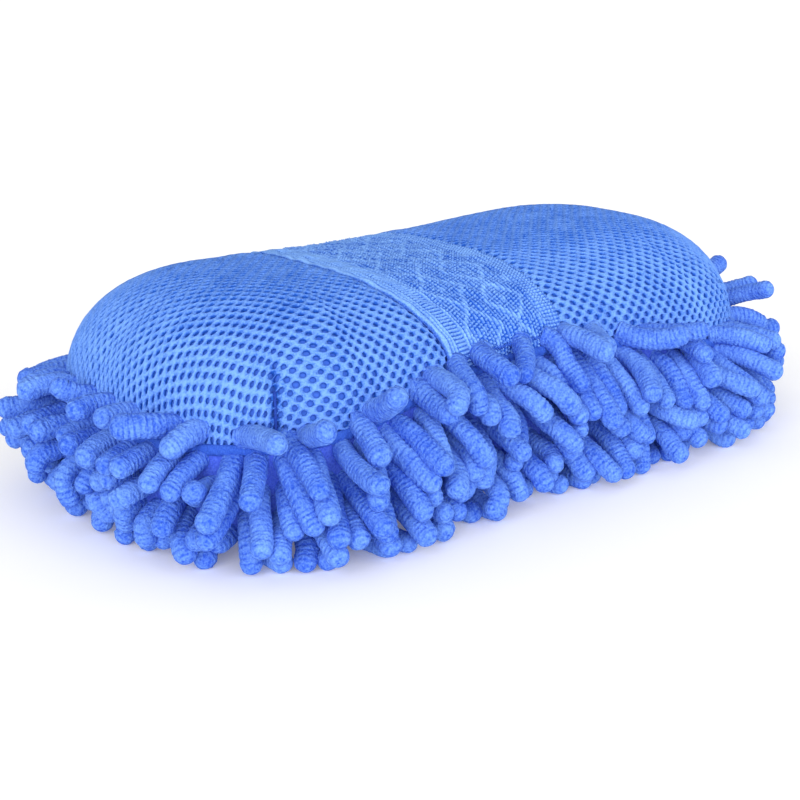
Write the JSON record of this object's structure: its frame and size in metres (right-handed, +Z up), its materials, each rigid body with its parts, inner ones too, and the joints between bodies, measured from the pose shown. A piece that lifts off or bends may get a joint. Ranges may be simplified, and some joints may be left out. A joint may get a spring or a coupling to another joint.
{
  "type": "wash mitt",
  "caption": "Padded wash mitt with a stretched air-mesh top, an elastic hand strap across its middle, and chenille pile round its sides and underside.",
  "frame": {"origin": "on the ground under the middle of the object's box", "axes": "+X along the pad's length, +Y across it from the front to the back, +Z up from the pile to the strap"},
  "size_m": [0.2502, 0.1384, 0.066],
  "materials": {
    "foam": "open-cell foam, matt",
    "air_mesh": "knitted 3-D air mesh with round holes, soft sheen",
    "ground_cloth": "close knitted polyester, matt",
    "stitching": "polyester overlock thread, matt",
    "elastic": "woven elastic with a raised geometric pattern, matt",
    "chenille": "microfibre chenille, ribbed and matt"
  },
  "bodies": {
    "mitt": {"sponge_core": "foam", "mesh_cover": "air_mesh", "base_cloth": "ground_cloth", "hem_seam": "stitching", "dart_front_left": "stitching", "dart_front_right": "stitching", "dart_back_left": "stitching", "dart_back_right": "stitching", "strap_leg_front": "elastic", "strap_leg_back": "elastic", "tack_front": "stitching", "tack_back": "stitching", "upper_pile_front": "chenille", "upper_pile_back": "chenille", "upper_pile_left": "chenille", "upper_pile_right": "chenille", "middle_pile_front": "chenille", "middle_pile_back": "chenille", "middle_pile_left": "chenille", "middle_pile_right": "chenille", "lower_pile_front": "chenille", "lower_pile_back": "chenille", "lower_pile_left": "chenille", "lower_pile_right": "chenille", "under_pile_front": "chenille", "under_pile_middle": "chenille", "under_pile_back": "chenille"},
    "strap": {"strap_span": "elastic"}
  },
  "joints": [
    {"name": "strap_lift", "type": "slide", "parent": "mitt", "child": "strap", "axis": [0, 0, 1], "range_m": [0, 0.03], "stiffness_N_per_m": 300, "deforming": ["strap_leg_front", "strap_leg_back"]}
  ]
}
